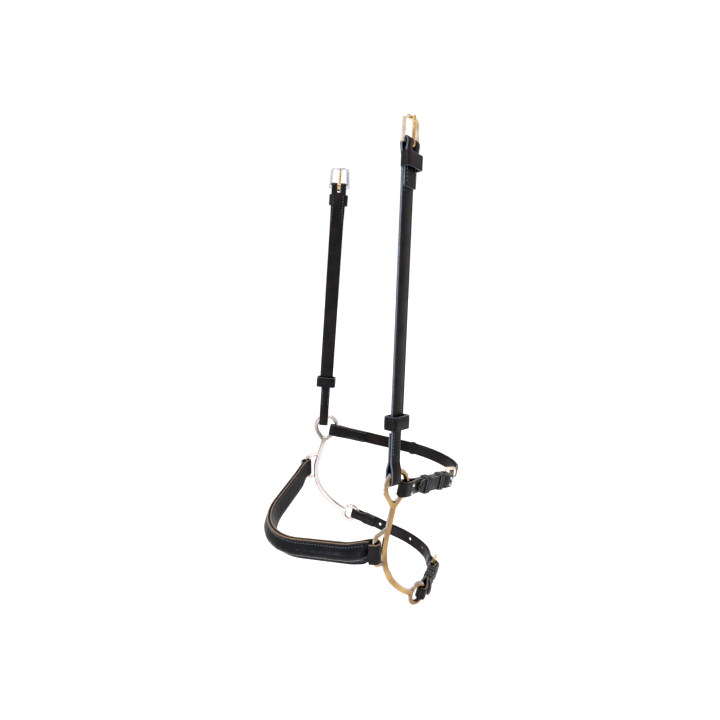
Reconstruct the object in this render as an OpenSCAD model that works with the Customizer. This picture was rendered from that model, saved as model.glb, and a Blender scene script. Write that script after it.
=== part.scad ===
// Bitless hackamore: two steel side pieces carry a padded noseband in front, a jaw strap and a
// chin strap behind, and hang from two cheek straps with buckles at their tops.
// X is across the head (+X the near side), -Y is the front of the nose, +Z is up.
// The origin is midway between the heel bars of the two top buckles.

/* [Overall] */
// Distance from the middle plane to the centre of each side piece's top ring
ring_half_gap = 78.8; // [70:0.1:90]
// Angle that each side piece turns its outer face backwards
toe = 18; // [10:1:24]
// Distance from the ring's centre up to the heel bar of the top buckle
strap_length = 242; // [220:1:260]
// Angle that each cheek strap leans back
lean_back = 4.3; // [2:0.1:6]
// Angle that each cheek strap leans inwards
lean_in = 1.8; // [1:0.1:3]
// Extra turn of the cheek strap about its own length, above the lower keeper
strap_twist = 8; // [4:1:10]

/* [Leather] */
// Thickness of the strap leather
leather = 2; // [1.6:0.1:2.2]
// Width of a cheek strap
strap_w = 13.2; // [12:0.1:13.4]
// Width of a cheek strap where it is doubled round the ring
strap_w_low = 9; // [8:0.1:9.2]
// Width of the jaw and chin straps
back_strap_w = 11.4; // [9:0.1:12.5]
// Height of a cheek strap keeper
keeper_h = 10; // [8:0.1:12]

/* [Side piece] */
// Thickness of the steel
steel_t = 3.6; // [3:0.1:4]
// Width of the curved arm
arm_w = 5; // [4:0.1:6]
// Width of the ring and slot bars
ring_w = 4; // [3:0.1:4.5]
// Centre-line radius of the top ring
ring_r = 11; // [10:0.1:12]
// Centre-line radius of the bottom ring
end_ring_r = 7.5; // [7:0.1:8]
// Clear height of the leather that passes through the noseband slot
slot_leather_h = 15; // [14:0.5:17]

/* [Noseband] */
// Height of the padded band
nose_h = 18; // [17:0.5:24]
// Thickness of the inner leather band
nose_back_t = 2.4; // [2:0.1:3]
// Thickness of the filling at its fullest
nose_fill_t = 5; // [4:0.5:7]
// Thickness of the outer cover
nose_cover_t = 1.8; // [1.4:0.1:2]
// Radius of the front curve along the middle of the band
nose_r = 57.5; // [54:0.5:60]
// Half of the angle that the front curve spans
nose_spread = 41.5; // [38:0.5:45]
// Angle that the band slopes down towards the front
nose_tilt = 15; // [10:1:20]

/* [Back straps] */
// Downward slope of the jaw strap towards the back
jaw_tilt = 13.5; // [10:0.5:18]
// Radius of the jaw strap's back curve
jaw_r = 48.5; // [46:0.5:50]
// Distance from the jaw strap's ring line to the centre of its back curve
jaw_depth = 45; // [42:1:50]
// Downward slope of the chin strap towards the back
chin_tilt = 17.5; // [14:0.5:24]
// Radius of the chin strap's back curve
chin_r = 50; // [48:1:54]
// Distance from the chin strap's ring line to the centre of its back curve
chin_depth = -3; // [-5:1:0]

/* [Hidden] */

gap = 0.1;                       // space between pieces that lie against each other
chamfer = 1.1;                   // bevel along the steel bars
ply = leather + gap;             // spacing of two leather layers

// Side piece, in its own plane: first number towards the back, second number up, ring centre at 0
mid_c = [29.9, -50];             // centre of the arm's middle curve
mid_r = 42;
mid_top = 162;                   // the curve's angle where the straight neck starts
mid_end = 215;                   // the angle where the flatter lower curve starts
low_r = 80;
low_end = 237.5;
neck_dir = [sin(mid_top), -cos(mid_top)];
neck_low = mid_c + mid_r * [cos(mid_top), sin(mid_top)];
neck_len = 22.1;
neck = neck_low + neck_len * neck_dir;
low_c = mid_c + (mid_r - low_r) * [cos(mid_end), sin(mid_end)];
end_ring = [25, -99.5];          // centre of the bottom ring
tangent_half = acos(ring_r / norm(neck));
neck_angle = atan2(neck[1], neck[0]);
fillet_r = 6;                    // curve that closes the foot of the ring's opening
fillet_c = neck * (1 - fillet_r / sin(90 - tangent_half) / norm(neck));
slot_u = -21.5;                  // front bar of the noseband slot
slot_top = -36.2;
slot_foot = -52.2;
slot_corner_r = 3.5;
slot_bar_w = 3;
slot_splay = 12;                 // slope of the slot's top and bottom bars
slot_mid = (slot_top + slot_foot) / 2;

// Cheek strap, in its own frame: x outwards, y back, z along the strap from the ring's centre
strap_shift = -3.7;              // the strap sits a little in front of the ring's centre
fold_gap = 3.7;                  // half the room inside the fold round the ring
fold_z = 3 + fold_gap;         // centre of that fold's curve
low_tail_z = 40;                 // end of the turned-up lower tail
runner_z = 48.5;                 // middle of the lower keeper
fixed_keeper_z = 230;            // middle of the upper keeper
top_tail_z = 213;                // end of the turned-down upper tail
bar_r = 1.5;                     // heel bar of every buckle
bar_fit = 0.3;                   // room round a heel bar
bar_x = ply;                     // the heel bar's place outside the strap's middle line
buckle_reach = 17.2;             // heel bar to front bar
buckle_half = 8.8;               // heel bar's middle to the side bar
frame_w = 2.8;
frame_t = 2.6;
side_lean = 4.5;                 // the frame's sides draw in towards the front bar
corner_r = 4;
tongue_r = 1.1;
tongue_off = bar_r + tongue_r + 0.1;
tongue_slot = 3.6;               // width of the slot that the tongue turns in

// Noseband, in its own sloping plane: x across, y back, 0 on the line of the slots' front bars
nose_drop = 3;                   // the band's middle hangs this much below the slot's middle
nose_end_r = 30;
nose_end_turn = 24;
slot_x = ring_half_gap - slot_u * sin(toe);
slot_y = slot_u * cos(toe);
nose_line = (slot_x - nose_r * sin(nose_spread)
    - nose_end_r * (sin(nose_spread + nose_end_turn) - sin(nose_spread))) / cos(nose_spread);
nose_c = nose_r * cos(nose_spread) - nose_line * sin(nose_spread)
    - nose_end_r * (cos(nose_spread) - cos(nose_spread + nose_end_turn));
nose_t = nose_back_t + nose_fill_t + nose_cover_t;
nose_arc = nose_r * nose_spread * PI / 180;
nose_end_arc = nose_end_r * nose_end_turn * PI / 180;
nose_half = nose_arc + nose_line + nose_end_arc;
pad_end = nose_half - 7;         // the padding stops short of the slot bar
pad_taper = 26;                  // length over which the padding thins
loop_r = 2.3;                    // room inside the leather loop round the slot's front bar

// Back straps: x across, y back, in a sloping plane through each strap's ring line
jaw_u = 8.5;                     // where the jaw strap crosses the top ring, behind its centre
jaw_v = -4.6;                    // and below it
chin_u = 31.3;                     // where the chin strap crosses the bottom ring
chin_v = -101;
jaw_x = ring_half_gap - jaw_u * sin(toe);
jaw_y = jaw_u * cos(toe);
chin_x = ring_half_gap - chin_u * sin(toe);
chin_y = chin_u * cos(toe);
jaw_shift = 0;                   // sideways place of the back curve's centre
chin_shift = 0;
jaw_bar_t = 62;                  // distance along the strap from the near ring to the heel bar
chin_bar_t = 47;
hole_r = 1.6;                    // punched holes of the jaw and chin straps
jaw_turn = 4.2;                  // radius of the strap's turn round the top ring
jaw_back = 1.5;                    // the turn's centre lies this far in front of the ring line
chin_turn = 4.3;
chin_back = 1.5;
neck_t = 16;                     // the two layers close up this far behind the turn's centre

// The point between the two top heel bars, seen from the middle of the ring line
bar_mid = [
    0,
    strap_shift * cos(toe) + strap_length * (sin(lean_back) * cos(toe) - cos(lean_back) * sin(lean_in) * sin(toe)),
    strap_length * cos(lean_back) * cos(lean_in)
];

function unit(v) = v / norm(v);
function left_of(v) = [-v[1], v[0]];
function side_at(path, i) = left_of(unit(path[min(i + 1, len(path) - 1)] - path[max(i - 1, 0)]));
function ribbon(path, t) = concat(
    [for (i = [0 : len(path) - 1]) path[i] + side_at(path, i) * t / 2],
    [for (i = [len(path) - 1 : -1 : 0]) path[i] - side_at(path, i) * t / 2]);
function arc_path(c, r, a, b, n) = [for (i = [0 : n]) let (t = a + (b - a) * i / n) c + r * [cos(t), sin(t)]];

// A strap end turned back round something at the origin: out along +x, round, and back along -x
function turn_path(r, neck_x, neck_y, n = 20) =
    let (a = atan2(neck_y, neck_x) - acos(r / norm([neck_x, neck_y])))
    concat([[neck_x, neck_y]], arc_path([0, 0], r, a, -180 - a, n), [[-neck_x, neck_y]]);

module hung() { translate(-bar_mid) children(); }

module on_side(s) {
    mirror([s < 0 ? 1 : 0, 0, 0]) translate([ring_half_gap, 0, 0]) rotate([0, 0, toe]) children();
}

// Turns a drawing with x back, y up and its thickness along z into the plane of a side piece
module side_plane() { rotate([90, 0, 90]) children(); }

module bar_profile(w) {
    polygon([
        [-w / 2, -steel_t / 2 + chamfer], [-w / 2 + chamfer, -steel_t / 2],
        [w / 2 - chamfer, -steel_t / 2], [w / 2, -steel_t / 2 + chamfer],
        [w / 2, steel_t / 2 - chamfer], [w / 2 - chamfer, steel_t / 2],
        [-w / 2 + chamfer, steel_t / 2], [-w / 2, steel_t / 2 - chamfer],
    ]);
}

module arc_bar(c, r, a, b, w) {
    translate(c) rotate(a) rotate_extrude(angle = b - a, $fn = 120) translate([r, 0]) bar_profile(w);
}

module straight_bar(p, q, w) {
    translate(p) rotate(atan2(q[1] - p[1], q[0] - p[0])) rotate([90, 0, 90])
        linear_extrude(norm(q - p)) bar_profile(w);
}

module side_piece(s) {
    color("silver") hung() on_side(s) side_plane() {
        top_a = neck_angle - tangent_half;
        top_b = neck_angle + tangent_half;
        arc_bar([0, 0], ring_r, top_b, top_a + 360, ring_w);
        straight_bar(ring_r * [cos(top_a), sin(top_a)], neck, ring_w);
        straight_bar(ring_r * [cos(top_b), sin(top_b)], neck, ring_w);
        arc_bar(fillet_c, fillet_r, top_a, top_b, ring_w);
        straight_bar(neck_low, neck + neck_dir, arm_w);
        arc_bar(mid_c, mid_r, mid_top, mid_end, arm_w);
        arc_bar(low_c, low_r, mid_end, low_end, arm_w);
        arc_bar(end_ring, end_ring_r, 0, 360, ring_w);
        slot_bars();
    }
}

module slot_bars() {
    c_x = slot_u + slot_corner_r;
    a = 90 + slot_splay;
    corner = slot_corner_r * [cos(a), sin(a)];
    away = [cos(slot_splay), sin(slot_splay)];
    arc_bar([c_x, slot_top], slot_corner_r, a, 180, slot_bar_w);
    arc_bar([c_x, slot_foot], slot_corner_r, 180, 360 - a, slot_bar_w);
    straight_bar([slot_u, slot_foot], [slot_u, slot_top], slot_bar_w);
    straight_bar([c_x, slot_top] + corner, [c_x, slot_top] + corner + 10.8 * away, slot_bar_w);
    straight_bar([c_x + corner[0], slot_foot - corner[1]],
        [c_x + corner[0] + 7.5 * away[0], slot_foot - corner[1] - 7.5 * away[1]], slot_bar_w);
}

// Point and direction of the noseband's middle line at distance d from the front, on the +X side
function nose_at(d) =
    let (e = d - nose_arc, f = e - nose_line, a = min(d, nose_arc) / nose_r * 180 / PI)
    d <= nose_arc ? [nose_r * sin(a), nose_c - nose_r * cos(a), a]
    : f <= 0 ? [nose_r * sin(nose_spread) + e * cos(nose_spread),
        nose_c - nose_r * cos(nose_spread) + e * sin(nose_spread), nose_spread]
    : let (b = nose_spread + f / nose_end_r * 180 / PI, base = nose_at(nose_arc + nose_line))
        [base[0] + nose_end_r * (sin(b) - sin(nose_spread)), base[1] + nose_end_r * (cos(nose_spread) - cos(b)), b];

// Thickness of the filling at distance d from the front
function fill_at(d) = max(0, nose_fill_t * min(1, (pad_end - d) / pad_taper));

// A point at distance d from the front, moved outwards by off; s chooses the side
function nose_point(d, off, s) = let (p = nose_at(d)) [s * (p[0] + off * sin(p[2])), p[1] - off * cos(p[2])];

function nose_stations(end) = [for (i = [-24 : 24]) end * i / 24];

// A band between two offsets, each the filling's thickness times a share plus a constant
module nose_band(end, in_share, in_add, out_share, out_add, h) {
    st = nose_stations(end);
    base = -nose_t / 2;
    linear_extrude(h, center = true) polygon(concat(
        [for (d = st) nose_point(abs(d), base + in_share * fill_at(abs(d)) + in_add, sign(d) < 0 ? -1 : 1)],
        [for (i = [len(st) - 1 : -1 : 0])
            nose_point(abs(st[i]), base + out_share * fill_at(abs(st[i])) + out_add, sign(st[i]) < 0 ? -1 : 1)]));
}

module nose_plane() {
    hung() translate([0, slot_y, slot_mid - nose_drop]) rotate([nose_tilt, 0, 0]) children();
}

// Leather loop round the slot's front bar, standing along the bar
module slot_loop(s) {
    hung() on_side(s) translate([0, slot_u, slot_mid]) difference() {
        cylinder(r = loop_r + nose_back_t, h = slot_leather_h, center = true, $fn = 48);
        cylinder(r = loop_r, h = slot_leather_h + 1, center = true, $fn = 48);
    }
}

module noseband_lining() {
    color("black") {
        nose_plane() nose_band(nose_half - loop_r - 1.6, 0, 0, 0, nose_back_t, nose_h - 1);
        for (s = [-1, 1]) slot_loop(s);
    }
}

module noseband_filling() {
    color("dimgray") nose_plane()
        nose_band(pad_end - 3, 0, nose_back_t + gap, 1, nose_back_t - gap, nose_h - 4.4);
}

module noseband_cover() {
    color("black") nose_plane() difference() {
        nose_band(pad_end, 0, nose_back_t + gap, 1, nose_back_t + nose_cover_t, nose_h);
        nose_band(pad_end - 2.8, 0, nose_back_t - 1, 1, nose_back_t, nose_h - 4);
    }
}

// Frame of one cheek strap: x outwards, y back, z up the strap
module strap_frame(s) {
    hung() on_side(s) translate([0, strap_shift, 0]) rotate([-lean_back, -lean_in, 0]) children();
}

// Draws a side view of the strap, x outwards and y up the strap, through a width
module strap_side(w, path) {
    rotate([90, 0, 0]) linear_extrude(w, center = true) polygon(ribbon(path, leather));
}

module cheek_strap(s) {
    h = ply / 2;
    low_turn = turn_path(fold_gap + leather / 2, h, 24);
    top_turn = turn_path(bar_r + bar_fit + leather / 2, h, 12);
    color("black") strap_frame(s) {
        strap_side(strap_w_low, concat([[h, runner_z]], [for (p = low_turn) p + [0, fold_z]], [[-h, low_tail_z]]));
        rotate(strap_twist) difference() {
            strap_side(strap_w, concat([[h, runner_z - 4]],
                [for (p = top_turn) [bar_x - p[0], strap_length - p[1]]], [[bar_x + h, top_tail_z]]));
            translate([bar_x, 0, strap_length]) cube([14, tongue_slot, 11], center = true);
        }
    }
}

// Frame of the top heel bar: x outwards, y along the bar, z towards the front bar
module top_bar_frame(s) {
    strap_frame(s) rotate(strap_twist) translate([bar_x, 0, strap_length]) children();
}

// Keeper that stands on the outer side, its legs gripping the strap's edges
module fixed_keeper(s) {
    wall = 1.5;
    inner = ply * 2 + 2.4;
    half = strap_w / 2 + 0.9;
    color("black") strap_frame(s) rotate(strap_twist) translate([0, 0, fixed_keeper_z - keeper_h / 2])
        linear_extrude(keeper_h) {
            translate([inner, -half - wall]) square([wall, 2 * (half + wall)]);
            for (m = [0, 1]) mirror([0, m]) {
                translate([gap, half]) square([inner - gap, wall]);
                translate([gap, strap_w / 2 + gap]) square([2, half + wall - strap_w / 2 - gap]);
            }
        }
}

// Loose keeper that slides along the cheek strap
module runner(s) {
    wall = 1.6;
    half_y = 8;
    x_in = -2.9;
    x_out = 5;
    color("black") strap_frame(s) rotate(strap_twist) translate([0, 0, runner_z - keeper_h / 2])
        linear_extrude(keeper_h) difference() {
            translate([x_in - wall, -half_y - wall]) square([x_out - x_in + 2 * wall, 2 * (half_y + wall)]);
            translate([x_in, -half_y]) square([x_out - x_in, 2 * half_y]);
        }
}

module flat_profile() {
    c = 0.8;
    polygon([
        [-frame_w / 2, -frame_t / 2 + c], [-frame_w / 2 + c, -frame_t / 2],
        [frame_w / 2 - c, -frame_t / 2], [frame_w / 2, -frame_t / 2 + c],
        [frame_w / 2, frame_t / 2 - c], [frame_w / 2 - c, frame_t / 2],
        [-frame_w / 2 + c, frame_t / 2], [-frame_w / 2, frame_t / 2 - c],
    ]);
}

module frame_bar(p, q) {
    translate(p) rotate(atan2(q[1] - p[1], q[0] - p[0])) rotate([90, 0, 90])
        linear_extrude(norm(q - p)) flat_profile();
}

// Buckle frame in the x-y plane: heel bar along x at the origin, front bar towards +y
module buckle_frame() {
    lean = [-sin(side_lean), cos(side_lean)];
    foot = [buckle_half, -frame_w / 2];
    side_len = (buckle_reach - corner_r * (1 - sin(side_lean)) + frame_w / 2) / cos(side_lean);
    shoulder = foot + side_len * lean;
    c = shoulder - corner_r * [cos(side_lean), sin(side_lean)];
    rotate([0, 90, 0]) cylinder(r = bar_r, h = 2 * buckle_half, center = true, $fn = 32);
    for (m = [0, 1]) mirror([m, 0, 0]) {
        frame_bar(foot, shoulder);
        translate(c) rotate(side_lean) rotate_extrude(angle = 90 - side_lean, $fn = 64)
            translate([corner_r, 0]) flat_profile();
    }
    frame_bar([-c[0], c[1] + corner_r], [c[0], c[1] + corner_r]);
}

// Tongue on the same frame: a ring round the heel bar and a rod that rests on the front bar,
// its tip reaching past the bar's middle by over
module buckle_tongue(over) {
    rotate([0, 90, 0]) difference() {
        cylinder(r = tongue_off + tongue_r, h = 2.4, center = true, $fn = 48);
        cylinder(r = bar_r + 0.08, h = 3, center = true, $fn = 48);
    }
    translate([0, 0, tongue_off]) rotate([-90, 0, 0]) cylinder(r = tongue_r, h = buckle_reach + over, $fn = 32);
    translate([0, buckle_reach + over, tongue_off]) sphere(r = tongue_r, $fn = 32);
}

// Turns the buckle's drawing so that its heel bar lies along y and its front bar is up
module stand_buckle() { rotate([90, 0, 90]) children(); }

module top_buckle(s) { color("gainsboro") top_bar_frame(s) stand_buckle() buckle_frame(); }

module top_tongue(s) { color("goldenrod") top_bar_frame(s) stand_buckle() buckle_tongue(0); }

// Back straps. A strap is [half width of its ring line, centre of the back curve, radius]
jaw = [jaw_x, [jaw_shift, jaw_depth], jaw_r];
chin = [chin_x, [chin_shift, chin_depth], chin_r];

// Angle on the back curve where the straight run from the ring at x = s * half width touches it
function touch(b, s) =
    let (v = [s * b[0], 0] - b[1]) atan2(v[1], v[0]) + s * acos(b[2] / norm(v));
function touch_point(b, s) = b[1] + b[2] * [cos(touch(b, s)), sin(touch(b, s))];
function run(b, s) = norm(touch_point(b, s) - [s * b[0], 0]);
function sweep(b) = let (a = touch(b, -1) - touch(b, 1)) a < 0 ? a + 360 : a;
function curve_len(b) = b[2] * sweep(b) * PI / 180;
function total(b) = run(b, 1) + curve_len(b) + run(b, -1);

// Point at distance t along the strap from the near ring, moved outwards by off
function back_at(b, t, off = 0) =
    let (r1 = run(b, 1), c = curve_len(b), n1 = [cos(touch(b, 1)), sin(touch(b, 1))],
        n2 = [cos(touch(b, -1)), sin(touch(b, -1))])
    t <= r1 ? [b[0], 0] + left_of(n1) * t + off * n1
    : t <= r1 + c ? let (a = touch(b, 1) + (t - r1) / b[2] * 180 / PI) b[1] + (b[2] + off) * [cos(a), sin(a)]
    : touch_point(b, -1) + left_of(n2) * (t - r1 - c) + off * n2;

function back_path(b, t0, t1, n, offs) = [for (i = [0 : n]) let (t = t0 + (t1 - t0) * i / n) back_at(b, t, lookup(t, offs))];

// Direction of the strap at distance t, as a turn about z from the +y axis
function back_turn(b, t) = let (d = back_at(b, t + 0.5) - back_at(b, t - 0.5)) atan2(d[1], d[0]) - 90;

module jaw_plane() { hung() translate([0, jaw_y, jaw_v]) rotate([-jaw_tilt, 0, 0]) children(); }
module chin_plane() { hung() translate([0, chin_y, chin_v]) rotate([-chin_tilt, 0, 0]) children(); }

// Offset of the billet from the middle line: outside the buckle strap, then down through the frame
function billet_offsets(bar) =
    let (flat = 1.5 * leather + 2 * gap, over = bar_r + bar_fit + 1.5 * leather + 0.3,
        under = -frame_t / 2 - leather / 2 - 0.3)
    [[6, flat + 2.6], [14.5, flat], [bar - 10, flat], [bar - 4, over], [bar + 4.6, over],
     [bar + 11.4, 0.4], [bar + buckle_reach - 2, under], [bar + buckle_reach + 3, under],
     [bar + buckle_reach + 20, 0]];

// Piece with the buckle: two layers that turn round the near ring and round the heel bar
module buckle_strap(b, bar, ring_turn, ring_back, end_half) {
    h = ply / 2;
    ring_end = turn_path(ring_turn, h, neck_t);
    bar_end = turn_path(bar_r + bar_fit + leather / 2, h, 9);
    path = concat(
        [for (p = ring_end) [p[0], p[1] - ring_back]],
        [for (p = bar_end) [-p[0], bar - p[1]]], [[h, 16.5 - ring_back]]);
    translate([b[0], 0]) rotate(back_turn(b, 1)) difference() {
        linear_extrude(back_strap_w, center = true) polygon(ribbon(path, leather));
        translate([0, bar, 0]) cube([14, 10, tongue_slot], center = true);
        end_taper(end_half);
    }
}

// Cuts a strap's end down to a smaller half width where it passes through its ring
module end_taper(end_half) {
    half = back_strap_w / 2 + 0.2;
    for (m = [0, 1]) mirror([0, 0, m]) rotate([90, 0, 90]) linear_extrude(16, center = true)
        polygon([[-9, end_half], [7, end_half], [13, half], [13, half + 3], [-9, half + 3]]);
}

// Piece with the holes: from its tip over the buckle strap, round the back and round the far ring
module billet_strap(b, bar, tip, tail, ring_turn, ring_back, holes, end_half) {
    h = ply / 2;
    end = total(b);
    offs = billet_offsets(bar);
    far_end = [for (p = turn_path(ring_turn, h, neck_t)) [-p[0], p[1] - ring_back]];
    far_turn = back_turn(b, end - 1) + 180;
    round_far = [for (p = far_end)
        [-b[0], 0] + [p[0] * cos(far_turn) - p[1] * sin(far_turn), p[0] * sin(far_turn) + p[1] * cos(far_turn)]];
    last = 17 - ring_back;
    path = concat(
        back_path(b, tip, bar + buckle_reach + 20, 44, offs),
        back_path(b, bar + buckle_reach + 24, end - tail - 14, 22, [[0, 0], [end, 0]]),
        back_path(b, end - tail - 12, end - last, 6, [[end - tail - 14, 0], [end - tail - 3, h], [end, h]]),
        round_far,
        [for (t = [end - last, end - tail]) back_at(b, t, -h)]);
    difference() {
        linear_extrude(back_strap_w, center = true) polygon(ribbon(path, leather));
        for (t = holes) let (p = back_at(b, t, lookup(t, offs)))
            translate([p[0], p[1], 0]) rotate(back_turn(b, t)) rotate([0, 90, 0])
                cylinder(r = hole_r, h = 12, center = true, $fn = 32);
        // The hole that the tongue stands in is stretched along the strap
        let (p = back_at(b, bar + 8)) translate([p[0], p[1], 0]) rotate(back_turn(b, bar + 8))
            cube([14, 9.8, 3], center = true);
        tip_cut(b, tip);
        translate([-b[0], 0]) rotate(far_turn) end_taper(end_half);
    }
}

// Rounds the tip of a billet
module tip_cut(b, tip) {
    p = back_at(b, tip, 1.5 * leather);
    translate([p[0], p[1], 0]) rotate(back_turn(b, tip)) rotate([0, 90, 0]) difference() {
        translate([-9, -1.5, -6]) cube([18, 7.5, 12]);
        translate([0, 6, -7]) cylinder(r = back_strap_w / 2, h = 14, $fn = 48);
    }
}

// Stands a buckle's drawing in the strap at its heel bar, the tongue on the outer side
module in_back_strap(b, bar) {
    p = back_at(b, bar);
    translate([p[0], p[1], 0]) rotate(back_turn(b, bar)) rotate([0, 90, 0]) children();
}

// Closed keeper round a stack of layers from offset a to offset c, at distance t
module back_keeper(b, t, a, c, len, wall) {
    p = back_at(b, t);
    half = back_strap_w / 2 + 0.4;
    translate([p[0], p[1], 0]) rotate(back_turn(b, t)) rotate([-90, 0, 0])
        translate([0, 0, -len / 2]) linear_extrude(len) difference() {
            translate([a - wall, -half - wall]) square([c - a + 2 * wall, 2 * (half + wall)]);
            translate([a, -half]) square([c - a, 2 * half]);
        }
}

module rivet() {
    rotate([0, 90, 0]) rotate_extrude($fn = 32)
        polygon([[0, 0], [1.2, 0], [1.2, 0.3], [1, 0.75], [0.6, 1.05], [0, 1.2]]);
}

// Two domed rivets on the outer face of a strap end, z above and below its middle line;
// s = 1 at the near ring and -1 at the far ring, back is the distance behind the ring line
module ring_rivets(b, s, back, ring_turn, ring_back, z) {
    lean = atan2(neck_t, ply / 2) - acos(ring_turn / norm([ply / 2, neck_t]));
    off = (ring_turn + leather / 2 + 0.05 - (back + ring_back) * sin(lean)) / cos(lean);
    t = s > 0 ? back : total(b) - back;
    p = back_at(b, t, off);
    for (side = [-z, z]) translate([p[0], p[1], side]) rotate(back_turn(b, t) + s * lean) rivet();
}

// Two rivets on the outer face of the billet, beside the tongue at the heel bar
module bar_rivets(b, bar, z) {
    p = back_at(b, bar, billet_offsets(bar)[4][1] + leather / 2 + 0.05);
    for (side = [-z, z]) translate([p[0], p[1], side]) rotate(back_turn(b, bar)) rivet();
}

stack = 1.5 * leather + 2 * gap + leather / 2;      // outer face of the billet over the buckle strap
inner_face = -ply / 2 - leather / 2;

module near_side_piece() side_piece(1);
module far_side_piece() side_piece(-1);
module near_cheek_strap() cheek_strap(1);
module far_cheek_strap() cheek_strap(-1);
module near_fixed_keeper() fixed_keeper(1);
module far_fixed_keeper() fixed_keeper(-1);
module near_runner() runner(1);
module far_runner() runner(-1);
module near_top_buckle() top_buckle(1);
module far_top_buckle() top_buckle(-1);
module near_top_tongue() top_tongue(1);
module far_top_tongue() top_tongue(-1);

module jaw_buckle_strap() { color("black") jaw_plane() buckle_strap(jaw, jaw_bar_t, jaw_turn, jaw_back, 5.7); }
module jaw_billet_strap() {
    color("black") jaw_plane() billet_strap(jaw, jaw_bar_t, 17, 33, jaw_turn, jaw_back, [jaw_bar_t + 28, jaw_bar_t + 40], 5.7);
}
module jaw_buckle() { color("silver") jaw_plane() in_back_strap(jaw, jaw_bar_t) buckle_frame(); }
module jaw_tongue() { color("silver") jaw_plane() in_back_strap(jaw, jaw_bar_t) buckle_tongue(1.2); }
module jaw_fixed_keeper() { color("black") jaw_plane() back_keeper(jaw, jaw_bar_t - 12, inner_face - 0.3, stack + 0.4, 5.5, 1.4); }
module jaw_runner() { color("black") jaw_plane() back_keeper(jaw, jaw_bar_t - 34, inner_face - 0.3, stack + 0.4, 6, 1.4); }
module jaw_end_keeper() {
    color("black") jaw_plane() back_keeper(jaw, total(jaw) - 85, -1.3, 1.3, 5, 1);
}
module jaw_rivets() {
    color("silver") jaw_plane() {
        ring_rivets(jaw, 1, 5.5, jaw_turn, jaw_back, 3.2);
        bar_rivets(jaw, jaw_bar_t, 2.8);
    }
}

module chin_buckle_strap() { color("black") chin_plane() buckle_strap(chin, chin_bar_t, chin_turn, chin_back, 4.5); }
module chin_billet_strap() {
    color("black") chin_plane() billet_strap(chin, chin_bar_t, 6, 22, chin_turn, chin_back,
        [chin_bar_t + 42, chin_bar_t + 60, chin_bar_t + 96], 4.5);
}
module chin_buckle() { color("goldenrod") chin_plane() in_back_strap(chin, chin_bar_t) buckle_frame(); }
module chin_tongue() { color("goldenrod") chin_plane() in_back_strap(chin, chin_bar_t) buckle_tongue(2); }
module chin_fixed_keeper() { color("black") chin_plane() back_keeper(chin, chin_bar_t - 12, inner_face - 0.3, stack + 0.4, 5.5, 1.4); }
module chin_runner() { color("black") chin_plane() back_keeper(chin, chin_bar_t - 25, inner_face - 0.3, stack + 0.4, 5.5, 1.4); }
module chin_rivets() {
    color("goldenrod") chin_plane() ring_rivets(chin, -1, 10, chin_turn, chin_back, 2.8);
}

near_side_piece();
far_side_piece();
noseband_lining();
noseband_filling();
noseband_cover();
near_cheek_strap();
far_cheek_strap();
near_fixed_keeper();
far_fixed_keeper();
near_runner();
far_runner();
near_top_buckle();
far_top_buckle();
near_top_tongue();
far_top_tongue();
jaw_buckle_strap();
jaw_billet_strap();
jaw_buckle();
jaw_tongue();
jaw_fixed_keeper();
jaw_runner();
jaw_end_keeper();
jaw_rivets();
chin_buckle_strap();
chin_billet_strap();
chin_buckle();
chin_tongue();
chin_fixed_keeper();
chin_runner();
chin_rivets();
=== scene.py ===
import math

import bmesh
import bpy
from mathutils import Matrix, Vector


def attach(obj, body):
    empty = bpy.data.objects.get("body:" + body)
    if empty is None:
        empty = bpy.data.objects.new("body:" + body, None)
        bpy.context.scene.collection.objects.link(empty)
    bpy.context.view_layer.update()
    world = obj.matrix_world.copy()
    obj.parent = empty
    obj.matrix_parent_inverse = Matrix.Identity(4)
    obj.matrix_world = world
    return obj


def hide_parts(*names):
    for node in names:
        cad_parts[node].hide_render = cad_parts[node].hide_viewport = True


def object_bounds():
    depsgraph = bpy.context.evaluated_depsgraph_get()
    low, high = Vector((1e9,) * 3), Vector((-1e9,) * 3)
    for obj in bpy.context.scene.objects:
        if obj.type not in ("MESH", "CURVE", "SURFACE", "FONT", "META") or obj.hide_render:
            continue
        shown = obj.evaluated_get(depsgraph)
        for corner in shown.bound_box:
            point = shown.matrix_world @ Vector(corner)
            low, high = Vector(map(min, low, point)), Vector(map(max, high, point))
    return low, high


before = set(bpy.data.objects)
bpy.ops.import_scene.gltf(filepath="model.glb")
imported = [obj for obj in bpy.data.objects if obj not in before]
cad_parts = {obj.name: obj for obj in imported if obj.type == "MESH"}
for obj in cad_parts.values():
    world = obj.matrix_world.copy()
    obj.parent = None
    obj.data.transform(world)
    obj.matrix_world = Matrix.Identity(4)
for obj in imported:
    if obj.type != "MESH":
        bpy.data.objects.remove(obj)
cad_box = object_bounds()

# Lengths are in millimetres until a mesh is made, and most names and values are those of the CAD
# source. The straps' folds sit closer round the steel rings than the CAD's, which keep clearance for
# the harness's swing. The jaw and chin keepers are thinner and closer too. The folds here cut up to 0.6
# mm into the steel at rest, and the keepers up to 0.3 mm into their straps.
MM = 0.001
LEATHER = 2.0
PLY = 2.1
RING_HALF_GAP = 78.8
TOE = 18
STRAP_SHIFT = -3.7
STRAP_LENGTH = 242
LEAN_BACK = 4.3
LEAN_IN = 1.8
STRAP_TWIST = 8
STRAP_W = 13.2
STRAP_W_LOW = 9
BACK_STRAP_W = 11.4
FOLD_GAP = 1.95
FOLD_Z = 4.95
LOW_TAIL_Z = 40
RUNNER_Z = 48.5
FIXED_KEEPER_Z = 230
TOP_TAIL_Z = 213
KEEPER_H = 10
BAR_R = 1.5
BAR_FIT = 0.3
BUCKLE_REACH = 17.2
FRAME_T = 2.6
SLOT_U = -21.5
SLOT_MID = -44.2
SLOT_LEATHER_H = 15
NOSE_H = 18
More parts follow.
